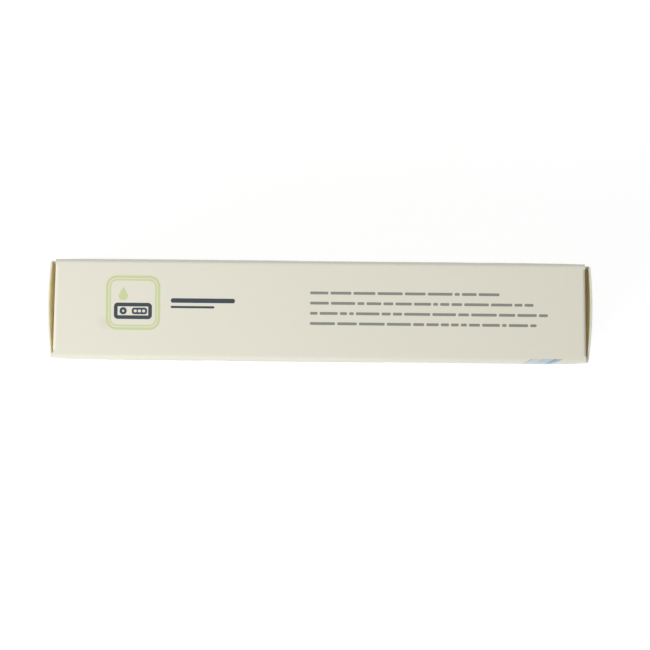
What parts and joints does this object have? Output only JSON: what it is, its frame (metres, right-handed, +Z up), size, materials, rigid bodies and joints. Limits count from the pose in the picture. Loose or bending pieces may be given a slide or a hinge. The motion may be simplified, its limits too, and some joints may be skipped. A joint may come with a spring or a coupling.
{
  "type": "tuck-end folding carton",
  "caption": "Slim cream tuck-end folding carton for a self-test kit, with hinged end closures, a sealed foil pouch and a folded leaflet inside.",
  "frame": {"origin": "centre of the base, the lower narrow panel that the carton stands on", "axes": "+X along the carton towards the right closure, +Y from the front wide panel to the back wide panel, +Z up to the printed narrow panel"},
  "size_m": [0.1488, 0.0286, 0.07],
  "materials": {
    "carton_board": "matte",
    "pouch_foil": "satin",
    "leaflet_paper": "matte"
  },
  "bodies": {
    "carton": {"carton_body": "carton_board", "foil_pouch": "pouch_foil", "instruction_leaflet": "leaflet_paper"},
    "left_end": {"left_closure": "carton_board"},
    "right_end": {"right_closure": "carton_board"}
  },
  "joints": [
    {"name": "left_closure_hinge", "type": "hinge", "parent": "carton", "child": "left_end", "pos_m": [-0.0729, -0.0129, 0.035], "axis": [0, 0, 1], "range_deg": [0, 110]},
    {"name": "right_closure_hinge", "type": "hinge", "parent": "carton", "child": "right_end", "pos_m": [0.0729, -0.0129, 0.035], "axis": [0, 0, -1], "range_deg": [0, 110]}
  ]
}
